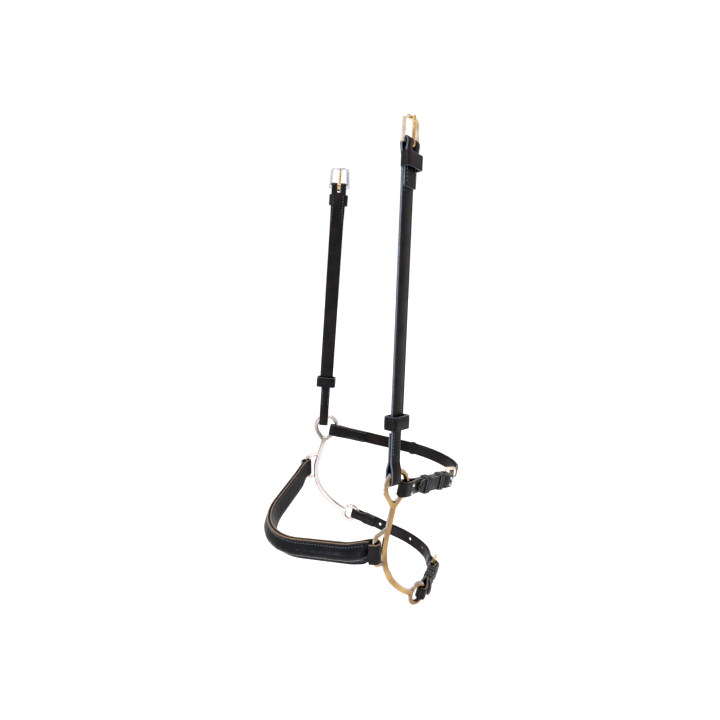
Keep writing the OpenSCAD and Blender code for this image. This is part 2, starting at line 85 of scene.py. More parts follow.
NOSE_BACK_T = 2.4
NOSE_T = 9.2
NOSE_R = 57.5
NOSE_SPREAD = math.radians(41.5)
NOSE_END_R = 30
NOSE_END_TURN = math.radians(24)
NOSE_TILT = 15
NOSE_DROP = 3
LOOP_R = 2.3
PAD_GAP = 4.5  # from the end of the padding to the slot bar
LINING_GAP = 3.5  # from the end of the flat lining to the slot bar
STITCH_INSET = 1.6  # from a strap's edge to its sewn row
STITCH_OUT = LEATHER / 2 + 0.03  # from a strap's middle to its thread
BAR_TURN = BAR_R + BAR_FIT + LEATHER / 2 + 0.15  # radius of a strap's middle round a heel bar
TIP_LENGTH = 5.5  # the rounded tip of a holed strap


def turn(degrees, axis):
    return Matrix.Rotation(math.radians(degrees), 4, axis)


def shift(x, y, z):
    return Matrix.Translation((x, y, z))


lean, inward, toe = (math.radians(a) for a in (LEAN_BACK, LEAN_IN, TOE))
bar_mid = Vector((
    0,
    STRAP_SHIFT * math.cos(toe)
    + STRAP_LENGTH * (math.sin(lean) * math.cos(toe) - math.cos(lean) * math.sin(inward) * math.sin(toe)),
    STRAP_LENGTH * math.cos(lean) * math.cos(inward),
))
hung = Matrix.Translation(-bar_mid)


def side_frame(s):
    """A side piece's frame: x outwards, y back, z up, from the top ring's centre."""
    mirror = Matrix.Diagonal((s, 1, 1, 1))
    return hung @ mirror @ shift(RING_HALF_GAP, 0, 0) @ turn(TOE, "Z")


def strap_frame(s):
    """A cheek strap's frame: x outwards, y back, z along the strap."""
    return side_frame(s) @ shift(0, STRAP_SHIFT, 0) @ turn(-LEAN_IN, "Y") @ turn(-LEAN_BACK, "X")


# ---------------------------------------------------------------- materials


def ramp(nodes, links, source, stops):
    node = nodes.new("ShaderNodeValToRGB")
    while len(node.color_ramp.elements) < len(stops):
        node.color_ramp.elements.new(0.5)
    for element, (place, colour) in zip(node.color_ramp.elements, stops):
        element.position = place
        element.color = (*colour, 1)
    links.new(source, node.inputs["Fac"])
    return node.outputs["Color"]


def noise(nodes, links, where, scale, detail=4, roughness=0.55):
    node = nodes.new("ShaderNodeTexNoise")
    node.inputs["Scale"].default_value = scale
    node.inputs["Detail"].default_value = detail
    node.inputs["Roughness"].default_value = roughness
    links.new(where, node.inputs["Vector"])
    return node.outputs["Fac"]


def bump(nodes, links, height, strength, distance, before=None):
    node = nodes.new("ShaderNodeBump")
    node.inputs["Strength"].default_value = strength
    node.inputs["Distance"].default_value = distance
    links.new(height, node.inputs["Height"])
    if before is not None:
        links.new(before, node.inputs["Normal"])
    return node.outputs["Normal"]


def make_piece(name, bm):
    """An object in the scene from a finished mesh."""
    bmesh.ops.recalc_face_normals(bm, faces=bm.faces)
    mesh = bpy.data.meshes.new(name)
    bm.to_mesh(mesh)
    bm.free()
    piece = bpy.data.objects.new(name, mesh)
    bpy.context.scene.collection.objects.link(piece)
    return piece


def new_material(name):
    material = bpy.data.materials.new(name)
    material.use_nodes = True
    nodes, links = material.node_tree.nodes, material.node_tree.links
    shader = nodes["Principled BSDF"]
    where = nodes.new("ShaderNodeTexCoord").outputs["Object"]
    return material, nodes, links, shader, where


def leather(name, dark, light, rough, grain, coat, grain_depth=0.00018):
    """Dyed leather: a fine pebbled grain, uneven dye, and a thin finish that has worn a little."""
    material, nodes, links, shader, where = new_material(name)
    dye = noise(nodes, links, where, 70, 6)
    links.new(ramp(nodes, links, dye, [(0.3, dark), (0.72, light)]), shader.inputs["Base Color"])
    wear = noise(nodes, links, where, 180, 5)
    low, high = (rough - 0.09,) * 3, (rough + 0.1,) * 3
    links.new(ramp(nodes, links, wear, [(0.3, low), (0.7, high)]), shader.inputs["Roughness"])
    cells = nodes.new("ShaderNodeTexVoronoi")
    cells.inputs["Scale"].default_value = grain
    links.new(where, cells.inputs["Vector"])
    pores = bump(nodes, links, cells.outputs["Distance"], 0.35, grain_depth)
    folds = noise(nodes, links, where, grain * 0.3, 5)
    links.new(bump(nodes, links, folds, 0.3, grain_depth * 1.6, pores), shader.inputs["Normal"])
    shader.inputs["Coat Weight"].default_value = coat
    shader.inputs["Coat Roughness"].default_value = 0.2
    shader.inputs["Specular IOR Level"].default_value = 0.1
    shader.inputs["Specular Tint"].default_value = (0.72, 0.84, 1.0, 1)
    return material


def cut_edge(name, dark, light):
    """The burnished cut edge of a strap, with its waxed fibres."""
    material, nodes, links, shader, where = new_material(name)
    fibres = noise(nodes, links, where, 420, 6, 0.7)
    links.new(ramp(nodes, links, fibres, [(0.3, dark), (0.7, light)]), shader.inputs["Base Color"])
    links.new(bump(nodes, links, fibres, 0.4, 0.00015), shader.inputs["Normal"])
    shader.inputs["Roughness"].default_value = 0.4
    shader.inputs["Coat Weight"].default_value = 0.25
    shader.inputs["Coat Roughness"].default_value = 0.3
    return material


def metal(name, deep, bright, rough, painted_reflection_face=None):
    """Polished metal with faint polishing marks and a slightly uneven tone.

    The last argument is a painted reflection: the warm colour given to the broad faces that look sideways
    across the head, along x."""
    material, nodes, links, shader, where = new_material(name)
    shader.inputs["Metallic"].default_value = 1.0
    tone = noise(nodes, links, where, 90, 5)
    colour = ramp(nodes, links, tone, [(0.32, deep), (0.68, bright)])
    # painted reflection: faces that look along x are blended towards a warmer colour that stands in for
    # what they reflect
    if painted_reflection_face:
        geometry = nodes.new("ShaderNodeNewGeometry")
        split = nodes.new("ShaderNodeSeparateXYZ")
        links.new(geometry.outputs["Normal"], split.inputs["Vector"])
        flat = nodes.new("ShaderNodeMapRange")
        flat.inputs["From Min"].default_value = 0.45
        flat.inputs["From Max"].default_value = 0.85
        links.new(split.outputs["X"], flat.inputs["Value"])
        blend = nodes.new("ShaderNodeMix")
        blend.data_type = "RGBA"
        links.new(flat.outputs["Result"], blend.inputs["Factor"])
        links.new(colour, blend.inputs["A"])
        reflection_streak = noise(nodes, links, where, 45, 3)
        painted_reflection = ramp(nodes, links, reflection_streak, [(0.35, painted_reflection_face[0]), (0.65, painted_reflection_face[1])])
        links.new(painted_reflection, blend.inputs["B"])
        colour = blend.outputs["Result"]
    links.new(colour, shader.inputs["Base Color"])
    marks = noise(nodes, links, where, 700, 4)
    low, high = (rough * 0.7,) * 3, (rough * 1.5,) * 3
    links.new(ramp(nodes, links, marks, [(0.3, low), (0.7, high)]), shader.inputs["Roughness"])
    dents = noise(nodes, links, where, 260, 3)
    links.new(bump(nodes, links, dents, 0.12, 0.0002), shader.inputs["Normal"])
    return material


def thread(name, dark, light):
    """Waxed sewing thread with a twist."""
    material, nodes, links, shader, where = new_material(name)
    twist = noise(nodes, links, where, 1500, 2)
    links.new(ramp(nodes, links, twist, [(0.35, dark), (0.65, light)]), shader.inputs["Base Color"])
    links.new(bump(nodes, links, twist, 0.5, 0.0001), shader.inputs["Normal"])
    shader.inputs["Roughness"].default_value = 0.38
    return material


strap_skin = leather("strap_leather", (0.0015, 0.0013, 0.0016), (0.014, 0.0085, 0.006), 0.33, 950, 0.02)
nose_skin = leather("noseband_leather", (0.0010, 0.0009, 0.0014), (0.007, 0.0045, 0.004), 0.26, 800, 0.03)
lining_skin = leather("lining_leather", (0.0025, 0.0023, 0.0026), (0.012, 0.009, 0.008), 0.42, 700, 0.02,
                      0.00025)
# the straps' cut edges are dark; their light blue-grey colour here is a painted highlight of the front
# light along them
edge_painted_highlight = cut_edge("edge_painted_highlight", (0.016, 0.021, 0.034), (0.085, 0.110, 0.165))
brown_edge = cut_edge("brown_edge", (0.014, 0.009, 0.007), (0.075, 0.040, 0.022))
tan_edge = cut_edge("tan_edge", (0.060, 0.032, 0.014), (0.23, 0.125, 0.050))
# The two side pieces are one steel. Their different tones, and the gold and pale pink on faces that look
# sideways, are painted reflections.
near_steel = metal("near_steel", (0.32, 0.30, 0.31), (0.60, 0.58, 0.62), 0.13,
                   ((0.26, 0.14, 0.055), (0.50, 0.31, 0.115)))
far_steel = metal("far_steel", (0.28, 0.21, 0.16), (0.52, 0.43, 0.36), 0.16,
                  ((0.55, 0.49, 0.475), (0.72, 0.66, 0.65)))
nickel = metal("nickel", (0.46, 0.44, 0.50), (0.86, 0.86, 0.93), 0.12)
gilt = metal("gilt", (0.36, 0.19, 0.06), (0.74, 0.50, 0.21), 0.18)
pale_gilt = metal("pale_gilt", (0.55, 0.36, 0.16), (0.90, 0.82, 0.74), 0.14)
# the thread is black; the lighter blue-grey of its colour is a painted reflection of the lamps on it
thread_painted_sheen = thread("thread_painted_sheen", (0.030, 0.035, 0.050), (0.10, 0.12, 0.17))

# ---------------------------------------------------------------- geometry


def arc(cx, cy, r, start, end, n):
    """Points on an arc; angles in degrees."""
    found = []
    for i in range(n + 1):
        a = math.radians(start + (end - start) * i / n)
        found.append((cx + r * math.cos(a), cy + r * math.sin(a)))
    return found


def turn_path(r, neck_x, neck_y, n=24):
    """A strap end turned back round the origin: down at +neck_x, round, and up at -neck_x."""
    a = math.degrees(math.atan2(neck_y, neck_x) - math.acos(r / math.hypot(neck_x, neck_y)))
    return [(neck_x, neck_y), *arc(0, 0, r, a, -180 - a, n), (-neck_x, neck_y)]


def snug_turn(r, straight, neck_x, neck_y, n=24):
    """The same, but with the two layers side by side up to a height before they close up."""
    return [(neck_x, neck_y), (r, straight), *arc(0, 0, r, 0, -180, n), (-r, straight), (-neck_x, neck_y)]


def resample(points, step):
    """The same line with points evenly spaced along it."""
    points = [Vector(p) for p in points]
    lengths = [0.0]
    for a, b in zip(points, points[1:]):
        lengths.append(lengths[-1] + (b - a).length)
    count = max(2, round(lengths[-1] / step))
    found, k = [], 0
    for i in range(count + 1):
        want = lengths[-1] * i / count
        while k < len(points) - 2 and lengths[k + 1] < want:
            k += 1
        span = lengths[k + 1] - lengths[k]
        found.append(points[k].lerp(points[k + 1], (want - lengths[k]) / span if span else 0))
    return found


def relax(points, passes, closed=False):
    """Softens the corners of a line."""
    points = list(points)
    last = len(points) - 1
    for _ in range(passes):
        old = list(points)
        for i in range(len(points)):
            if not closed and i in (0, last):
                continue
            points[i] = old[i] * 0.5 + (old[i - 1] + old[(i + 1) % len(points)]) * 0.25
    return points


def flat_frames(points, place, closed=False):
    """Frames (middle, tangent, width axis, face normal) along a flat line drawn in place's XY plane."""
    basis = place.to_3x3()
    wide = (basis @ Vector((0, 0, 1))).normalized()
    found = []
    for i, p in enumerate(points):
        if closed:
            d = points[(i + 1) % len(points)] - points[i - 1]
        else:
            d = points[min(i + 1, len(points) - 1)] - points[max(i - 1, 0)]
        d = d.normalized()
        found.append((
            place @ Vector((p[0], p[1], 0)),
            (basis @ Vector((d[0], d[1], 0))).normalized(),
            wide,
            (basis @ Vector((d[1], -d[0], 0))).normalized(),
        ))
    return found


def strap_profile(width, thick, crease=1.3, inner_edge=False):
    """Round-edged strap section as (across, out, on the cut edge), with a creased line along each edge.

    inner_edge leaves only the under half of the cut edge showing its raw colour."""
    w, t = width / 2, thick / 2
    r = min(0.5, t * 0.55)
    c = min(crease, w * 0.4)
    d = 0.2 if crease else 0
    half = [(0, t + 0.06, 0), (w - c - 0.45, t + 0.02, 0), (w - c, t - d, 0), (w - c + 0.4, t, 0),
            (w - r, t, 0)]
    upper, lower = (0, 1) if inner_edge else (1, 0)
    edge = [(w - 0.3 * r, t - 0.3 * r, upper), (w, t - r, upper), (w + 0.06, 0, 1), (w, r - t, 1),
            (w - 0.3 * r, 0.3 * r - t, lower)]
    under = [(w - r, -t, 0), (w * 0.6, -t, 0), (0, -t, 0)]
    right = half + edge + under
    left = [(-x, y, e) for x, y, e in right[-2:0:-1]]
    return right + left


def loft(name, rings, flags, materials, closed=False):
    """A piece through rings of points, capped at its ends. flags say which points are on a cut edge."""
    bm = bmesh.new()
    rows = [[bm.verts.new(p * MM) for p in ring] for ring in rings]
    n = len(rings[0])
    pairs = list(zip(rows, rows[1:]))
    if closed:
        pairs.append((rows[-1], rows[0]))
    for a, b in pairs:
        for j in range(n):
            k = (j + 1) % n
            face = bm.faces.new((a[j], a[k], b[k], b[j]))
            face.material_index = 1 if flags[j] and flags[k] else 0
            face.smooth = True
    if not closed:
        for row in (rows[0], rows[-1]):
            face = bm.faces.new(row)
            face.material_index = 1
    piece = make_piece(name, bm)
    for material in materials:
        piece.data.materials.append(material)
    return piece


def sweep(name, frames, width, materials, thick=LEATHER, crease=1.3, closed=False, inner_edge=False):
    """A strap along frames. width is a number or a function of the share of the length."""
    last = len(frames) - 1
    rings, flags = [], None
    for i, (p, t, w, n) in enumerate(frames):
        share = i / last
        wide = width(share) if callable(width) else width
        outline = strap_profile(wide, thick, crease, inner_edge)
        flags = [e for _, _, e in outline]
        rings.append([p + w * a + n * b for a, b, _ in outline])
    if not closed:
        for end, way in ((0, -1), (last, 1)):
            p, t, w, n = frames[end]
            ring = rings[0] if end == 0 else rings[-1]
            outer = [p + (q - p) * 0.93 + t * way * 0.3 for q in ring]
            if end == 0:
                rings.insert(0, outer)
            else:
                rings.append(outer)
    return loft(name, rings, flags, materials, closed)


def cut(piece, cutters):
    """Cuts the cutters' shapes out of a piece and leaves a plain mesh."""
    for cutter in cutters:
        modifier = piece.modifiers.new("cut", "BOOLEAN")
        modifier.operation = "DIFFERENCE"
        modifier.solver = "EXACT"
        modifier.object = cutter
    graph = bpy.context.evaluated_depsgraph_get()
    mesh = bpy.data.meshes.new_from_object(piece.evaluated_get(graph))
    piece.modifiers.clear()
    piece.data = mesh
    for cutter in cutters:
        bpy.data.objects.remove(cutter)


def slot_cutter(place, length, width, depth):
    """A round-ended slot through a strap: length along place's y, width along its x."""
    bm = bmesh.new()
    straight = max(length - width, 0) / 2
    outline = [(x, y + straight) for x, y in arc(0, 0, width / 2, 0, 180, 10)]
    outline += [(x, y - straight) for x, y in arc(0, 0, width / 2, 180, 360, 10)]
    rows = []
    for z in (-depth / 2, depth / 2):
        rows.append([bm.verts.new(place @ Vector((x, y, z)) * MM) for x, y in outline])
    n = len(outline)
    for j in range(n):
        if (rows[0][j].co - rows[0][(j + 1) % n].co).length > 1e-7:
            bm.faces.new((rows[0][j], rows[0][(j + 1) % n], rows[1][(j + 1) % n], rows[1][j]))
    bm.faces.new(rows[0])
    bm.faces.new(rows[1])
    bmesh.ops.remove_doubles(bm, verts=bm.verts, dist=1e-6)
    return make_piece("cutter", bm)


# A stitch's rings: place along it in half lengths, share of its full radius, and height above its line
STITCH_RINGS = ((-1, 0.3, -0.2), (-0.75, 0.85, 0), (0, 1, 0.06), (0.75, 0.85, 0), (1, 0.3, -0.2))
STITCH_SIDES = 8


def stitches(name, rows, body, spacing=2.5, length=1.8, r=0.27):
    """Sewn rows. A row is a list of (point, direction, surface normal) along the line."""
    bm = bmesh.new()
    for row in rows:
        run, places = 0.0, []
        for (a, t, n), (b, t2, n2) in zip(row, row[1:]):
            step = (b - a).length
            while run <= step and step > 0:
                k = run / step
                places.append((a.lerp(b, k), t.lerp(t2, k).normalized(), n.lerp(n2, k).normalized()))
                run += spacing
            run -= step
        for p, t, n in places:
            side = t.cross(n).normalized()
            rings = []
            for along, fat, rise in STITCH_RINGS:
                ring = []
                for j in range(STITCH_SIDES):
                    a = math.pi * 2 * j / STITCH_SIDES
                    up = rise + fat * r * math.sin(a)
                    q = p + t * along * length / 2 + n * up + side * fat * r * math.cos(a)
                    ring.append(bm.verts.new(q * MM))
                rings.append(ring)
            for a, b in zip(rings, rings[1:]):
                for j in range(STITCH_SIDES):
                    k = (j + 1) % STITCH_SIDES
                    bm.faces.new((a[j], a[k], b[k], b[j])).smooth = True
            bm.faces.new(rings[0])
            bm.faces.new(rings[-1])
    piece = make_piece(name, bm)
    piece.data.materials.append(thread_painted_sheen)
    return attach(piece, body)


def row_on(frames, across, out):
    """A stitch line on a strap: across its width, and out from its middle."""
    return [(p + w * across + n * out, t, n if out > 0 else -n) for p, t, w, n in frames]


def both_faces(frames, across):
    """The stitch lines on the two faces of one leather layer."""
    return [row_on(frames, across, STITCH_OUT), row_on(frames, across, -STITCH_OUT)]


def length_of(frames):
    return sum((b[0] - a[0]).length for a, b in zip(frames, frames[1:]))


def smooth_step(x):
    x = min(max(x, 0), 1)
    return x * x * (3 - 2 * x)


# ---------------------------------------------------------------- cheek straps


def cheek_strap(side, s):
    h = PLY / 2
    low = [(x, y + FOLD_Z) for x, y in snug_turn(FOLD_GAP + LEATHER / 2, 7.5, h, 14)]
    top = [(PLY - x, STRAP_LENGTH - y) for x, y in turn_path(BAR_TURN, h, 12)]
    line = [(-h, LOW_TAIL_Z), *low[::-1], (h, RUNNER_Z), *top, (PLY + h, TOP_TAIL_Z)]
    points = relax(resample(line, 1.0), 2)
    place = strap_frame(s) @ turn(90, "X")
    raw = flat_frames(points, place)
    frames = []
    inverse = strap_frame(s).inverted()
    for p, t, w, n in raw:
        q = inverse @ p
        twist = STRAP_TWIST * smooth_step((q.z - 42) / 10)
        spin = strap_frame(s) @ turn(twist, "Z") @ inverse
        only = spin.to_3x3()
        frames.append((spin @ p, only @ t, only @ w, only @ n))
    heights = [(inverse @ f[0]).z for f in frames]

    def width(share):
        z = heights[round(share * (len(frames) - 1))]
        grow = smooth_step((z - 41) / 9)
        flare = 0.5 * smooth_step((z - 205) / 25)
        return STRAP_W_LOW + (STRAP_W - STRAP_W_LOW) * grow + flare

    piece = sweep(f"{side}_cheek_strap_leather", frames, width, (strap_skin, edge_painted_highlight))
    upper = strap_frame(s) @ turn(STRAP_TWIST, "Z") @ shift(PLY, 0, STRAP_LENGTH)
    cut(piece, [slot_box(upper, 14, 3.6, 11)])
    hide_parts(f"{side}_cheek_strap")
    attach(piece, "cheek_straps")
    high = [f for f, z in zip(frames, heights) if z > 208]
    half = len(high) // 2
    main, tail = high[:half], high[half:]
    main = [f for f in main if 210 < (inverse @ f[0]).z < 234]
    tail = [f for f in tail if 215 < (inverse @ f[0]).z < 234]
    rows = []
    for across in (-4.9, 4.9):
        for part in (tail, main):
            rows += both_faces(part, across)
    low = [f for f, z in zip(frames, heights) if 24 < z < 42]
    half = len(low) // 2
    for part in (low[:half], low[half:]):
        for across in (-3.2, 3.2):
            rows += both_faces(part, across)
    stitches(f"{side}_cheek_strap_stitches", rows, "cheek_straps")


def slot_box(place, x, y, z):
    """A box cutter with slightly rounded ends, standing at place."""
    bm = bmesh.new()
    rows = []
    outline = []
    for cy, cz, a in ((1, 1, 0), (-1, 1, 90), (-1, -1, 180), (1, -1, 270)):
        for px, py in arc(cy * (y / 2 - 1.2), cz * (z / 2 - 1.2), 1.2, a, a + 90, 5):
            outline.append((px, py))
    for px in (-x / 2, x / 2):
        rows.append([bm.verts.new(place @ Vector((px, a, b)) * MM) for a, b in outline])
    n = len(outline)
    for j in range(n):
        bm.faces.new((rows[0][j], rows[0][(j + 1) % n], rows[1][(j + 1) % n], rows[1][j]))
    bm.faces.new(rows[0])
    bm.faces.new(rows[1])
    return make_piece("cutter", bm)


def keeper(name, place, line, height, body, closed, thick=1.5, passes=3):
    """A leather keeper: line is drawn in place's XY plane and the leather's height lies along z."""
    points = relax(resample(line, 0.7), passes, closed)
    if closed:
        points = points[:-1]
    frames = flat_frames(points, place, closed)
    piece = sweep(f"{name}_leather", frames, height, (strap_skin, edge_painted_highlight), thick, 1.1, closed)
    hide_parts(name)
    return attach(piece, body)


def loop_line(x0, x1, y, r=1.2):
    """A closed rounded rectangle from x0 to x1 and -y to y."""
    line = []
    for cx, cy, a in ((x1, y, 0), (x0, y, 90), (x0, -y, 180), (x1, -y, 270)):
        sx = -1 if cx == x1 else 1
        sy = -1 if cy > 0 else 1
        line += arc(cx + sx * r, cy + sy * r, r, a, a + 90, 6)
    return line + line[:1]


for side, s in (("near", 1), ("far", -1)):
    cheek_strap(side, s)
    upright = strap_frame(s) @ turn(STRAP_TWIST, "Z")
    leg = STRAP_W / 2 + 0.9 + 0.75
    across = PLY * 2 + 2.4 + 0.75
    keeper(f"{side}_fixed_keeper", upright @ shift(0, 0, FIXED_KEEPER_Z),
           [(1.1, leg - 1.9), (1.1, leg), (across, leg), (across, -leg), (1.1, -leg), (1.1, 1.9 - leg)],
           KEEPER_H, "cheek_straps", False)
    keeper(f"{side}_runner", upright @ shift(0, 0, RUNNER_Z), loop_line(-3.7, 5.8, 8.8),
           KEEPER_H, f"{side}_runner", True, 1.6)

# ---------------------------------------------------------------- jaw and chin straps


class BackStrap:
    """A strap behind the jaw, in its own sloping plane."""

    def __init__(self, u, v, tilt, depth, r, bar):
        self.x = RING_HALF_GAP - u * math.sin(toe)
        y = u * math.cos(toe)
        self.place = hung @ shift(0, y, v) @ turn(-tilt, "X")
        self.c = Vector((0, depth))
        self.r = r
        self.bar = bar
        self.starts = {}
        for s in (1, -1):
            w = Vector((s * self.x, 0)) - self.c
            self.starts[s] = math.atan2(w.y, w.x) + s * math.acos(r / w.length)
        self.sweep = (self.starts[-1] - self.starts[1]) % (2 * math.pi)
        self.run = (self.c + r * self.dir(self.starts[1]) - Vector((self.x, 0))).length
        self.curve = r * self.sweep
        self.total = 2 * self.run + self.curve

    @staticmethod
    def dir(a):
        return Vector((math.cos(a), math.sin(a)))

    def at(self, t, off=0.0):
        n1, n2 = self.dir(self.starts[1]), self.dir(self.starts[-1])
        if t <= self.run:
            return Vector((self.x, 0)) + Vector((-n1.y, n1.x)) * t + n1 * off
        if t <= self.run + self.curve:
            a = self.starts[1] + (t - self.run) / self.r
            return self.c + (self.r + off) * self.dir(a)
        return self.c + self.r * n2 + Vector((-n2.y, n2.x)) * (t - self.run - self.curve) + n2 * off

    def turn(self, t):
        d = self.at(t + 0.5) - self.at(t - 0.5)
        return math.degrees(math.atan2(d.y, d.x)) - 90

    def stand(self, t, off=0.0, z=0.0):
        """Place on the strap: x outwards, y along it, z across it."""
        p = self.at(t, off)
        return self.place @ shift(p.x, p.y, z) @ turn(self.turn(t), "Z")


def lookup(x, table):
    """The value at x in a table of (x, value), straight between its points."""
    for (a, u), (b, v) in zip(table, table[1:]):
        if x <= b:
            return u + (v - u) * max(0, x - a) / (b - a)
    return table[-1][1]


def billet_offsets(bar):
    """How far the holed strap lies outside the middle line, by the distance from the near ring."""
    flat = 1.5 * LEATHER + 0.2
    over = BAR_R + BAR_FIT + 1.5 * LEATHER + 0.3
    under = -FRAME_T / 2 - LEATHER / 2 - 0.3
    reach = bar + BUCKLE_REACH
    return [(6, flat + 2.6), (14.5, flat), (bar - 10, flat), (bar - 4, over), (bar + 4.6, over),
            (bar + 11.4, 0.4), (reach - 2, under), (reach + 3, under), (reach + 20, 0)]


def end_width(distance, end_half):
    """The strap's width at a distance behind its ring, narrower where it passes through."""
    return 2 * end_half + (BACK_STRAP_W - 2 * end_half) * smooth_step((distance - 7) / 6)


def two_layers(outer, apart):
    """The sewn rows through two layers, on the outer face of one and the inner face of the other."""
    inner = [(p - n * apart, t, w, n) for p, t, w, n in outer]
    rows = []
    for across in (STITCH_INSET - BACK_STRAP_W / 2, BACK_STRAP_W / 2 - STITCH_INSET):
        rows.append(row_on(outer, across, STITCH_OUT))
        rows.append(row_on(inner, across, -STITCH_OUT))
    return rows


def back_strap(name, strap, tip, tail, ring_turn, ring_back, holes, end_half):
    """A jaw or chin strap: the piece with the buckle, then the piece with the holes.

    tip is the distance from the near ring to the holed piece's free end, and tail is how far its fold
    reaches back from the far ring. ring_turn is the radius of the folds' middle line, whose centre lies
    ring_back in front of the ring; end_half is half the strap's width in the rings."""
    h = PLY / 2
    bar = strap.bar
    # the piece with the buckle
    ring_end = [(x, y - ring_back) for x, y in snug_turn(ring_turn, 5 + ring_back, h, 15 + ring_back)]
    bar_end = [(-x, bar - y) for x, y in turn_path(BAR_TURN, h, 9)]
    line = [*ring_end, *bar_end, (h, 16.6 - ring_back)]
    start = strap.place @ shift(strap.x, 0, 0) @ turn(strap.turn(1), "Z")
    frames = flat_frames(relax(resample(line, 1.0), 2), start)
    from_ring = [(start.inverted() @ f[0]).y for f in frames]

    def buckle_width(share):
        return end_width(from_ring[round(share * (len(frames) - 1))], end_half)

    piece = sweep(f"{name}_buckle_strap_leather", frames, buckle_width, (strap_skin, brown_edge))
    cut(piece, [slot_box(start @ shift(0, bar, 0) @ turn(90, "X"), 14, 3.6, 10)])
    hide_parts(f"{name}_buckle_strap")
    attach(piece, "harness")
    rows = []
    out, along, across_way = (start.to_3x3().col[i].normalized() for i in range(3))
    outer = [(start @ Vector((h, y, 0)), along, across_way, out) for y in range(13, int(bar) - 8)]
    rows += two_layers(outer, 2 * h)
    # the piece with the holes
    end = strap.total
    offsets = billet_offsets(bar)
    far = strap.turn(end - 1) + 180
    c, k = math.cos(math.radians(far)), math.sin(math.radians(far))
    round_far = []
    for x, y in snug_turn(ring_turn, 5 + ring_back, h, 15 + ring_back):
        x, y = -x, y - ring_back
        round_far.append((-strap.x + x * c - y * k, x * k + y * c))
    last = 17 - ring_back
    steps = int(bar + BUCKLE_REACH + 20 - tip)
    line = [strap.at(tip + i, lookup(tip + i, offsets)) for i in range(steps)]
    start_plain = bar + BUCKLE_REACH + 24
    plain_end = end - tail - 14
    line += [strap.at(start_plain + (plain_end - start_plain) * i / 30) for i in range(31)]
    for i in range(7):
        t = end - tail - 12 + (tail + 12 - last) * i / 6
        line.append(strap.at(t, lookup(t, [(end - tail - 14, 0), (end - tail - 3, h), (end, h)])))
    line += [Vector(p) for p in round_far]
    line += [strap.at(t, -h) for t in (end - last, end - tail)]
    frames = flat_frames(relax(resample(line, 1.0), 3), strap.place)
    total = length_of(frames)
    far_start = strap.place @ shift(-strap.x, 0, 0) @ turn(far, "Z")
    from_far = [(far_start.inverted() @ f[0]).y for f in frames]

    def width(share):
        d = share * total
        if d < TIP_LENGTH:
            return BACK_STRAP_W * (0.25 + 0.75 * math.sqrt(max(0, 1 - (1 - d / TIP_LENGTH) ** 2)))
        if share < 0.6:
            return BACK_STRAP_W
        return end_width(from_far[round(share * (len(frames) - 1))], end_half)

    piece = sweep(f"{name}_billet_leather", frames, width, (strap_skin, brown_edge))
    cutters = []
    for t in holes:
        cutters.append(slot_cutter(strap.stand(t, lookup(t, offsets)) @ turn(90, "Y"), 3.2, 3.2, 12))
    cutters.append(slot_cutter(strap.stand(bar + 8) @ turn(90, "Y"), 9.8, 3.0, 14))
    cut(piece, cutters)
    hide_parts(f"{name}_billet_strap")
    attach(piece, "harness")
    outer_far = [strap_frame_at(strap, end - tail + 1 + i, h) for i in range(int(tail - 13))]
    rows += two_layers(outer_far, 2 * h)
    stitches(f"{name}_strap_stitches", rows, "harness")


def strap_frame_at(strap, t, off):
    """The frame (middle, tangent, width axis, face normal) on a strap at distance t."""
    place = strap.stand(t, off)
    out, along, across_way = place.to_3x3().col
    return (place.translation.copy(), along, across_way, out)


def back_keeper(name, strap, t, a, c, length, body, thick):
    """A keeper round a jaw or chin strap at distance t, its inner faces at offsets a and c."""
    place = strap.stand(t) @ turn(-90, "X")
    half = BACK_STRAP_W / 2 + 0.15 + thick / 2
    line = loop_line(a - thick / 2, c + thick / 2, half, 1.0)
    keeper(name, place, line, length, body, True, thick, 2)


jaw = BackStrap(8.5, -4.6, 13.5, 45.0, 48.5, 62.0)
chin = BackStrap(31.3, -101, 17.5, -3.0, 50.0, 47.0)
back_strap("jaw", jaw, 17, 33, 3.1, 1.9, [90, 102], 5.7)
back_strap("chin", chin, 6, 22, 3.2, 1.6, [89, 107, 143], 4.5)
stack = 1.5 * LEATHER + 0.2 + LEATHER / 2
inner_face = -PLY / 2 - LEATHER / 2
back_keeper("jaw_fixed_keeper", jaw, jaw.bar - 12, inner_face, stack + 0.1, 5.5, "harness", 1.1)
back_keeper("jaw_runner", jaw, jaw.bar - 34, inner_face, stack + 0.1, 6, "jaw_runner", 1.1)
back_keeper("jaw_end_keeper", jaw, jaw.total - 85, -1.1, 1.1, 5, "harness", 0.8)
back_keeper("chin_fixed_keeper", chin, chin.bar - 12, inner_face, stack + 0.1, 5.5, "harness", 1.1)
back_keeper("chin_runner", chin, chin.bar - 25, inner_face, stack + 0.1, 5.5, "chin_runner", 1.1)

# ---------------------------------------------------------------- noseband

slot_x = RING_HALF_GAP - SLOT_U * math.sin(toe)
slot_y = SLOT_U * math.cos(toe)
spread_end = NOSE_SPREAD + NOSE_END_TURN
nose_line = (slot_x - NOSE_R * math.sin(NOSE_SPREAD)
             - NOSE_END_R * (math.sin(spread_end) - math.sin(NOSE_SPREAD))) / math.cos(NOSE_SPREAD)
nose_c = (NOSE_R * math.cos(NOSE_SPREAD) - nose_line * math.sin(NOSE_SPREAD)
          - NOSE_END_R * (math.cos(NOSE_SPREAD) - math.cos(spread_end)))
nose_arc = NOSE_R * NOSE_SPREAD
nose_half = nose_arc + nose_line + NOSE_END_R * NOSE_END_TURN
pad_end = nose_half - PAD_GAP
nose_place = hung @ shift(0, slot_y, SLOT_MID - NOSE_DROP) @ turn(NOSE_TILT, "X")


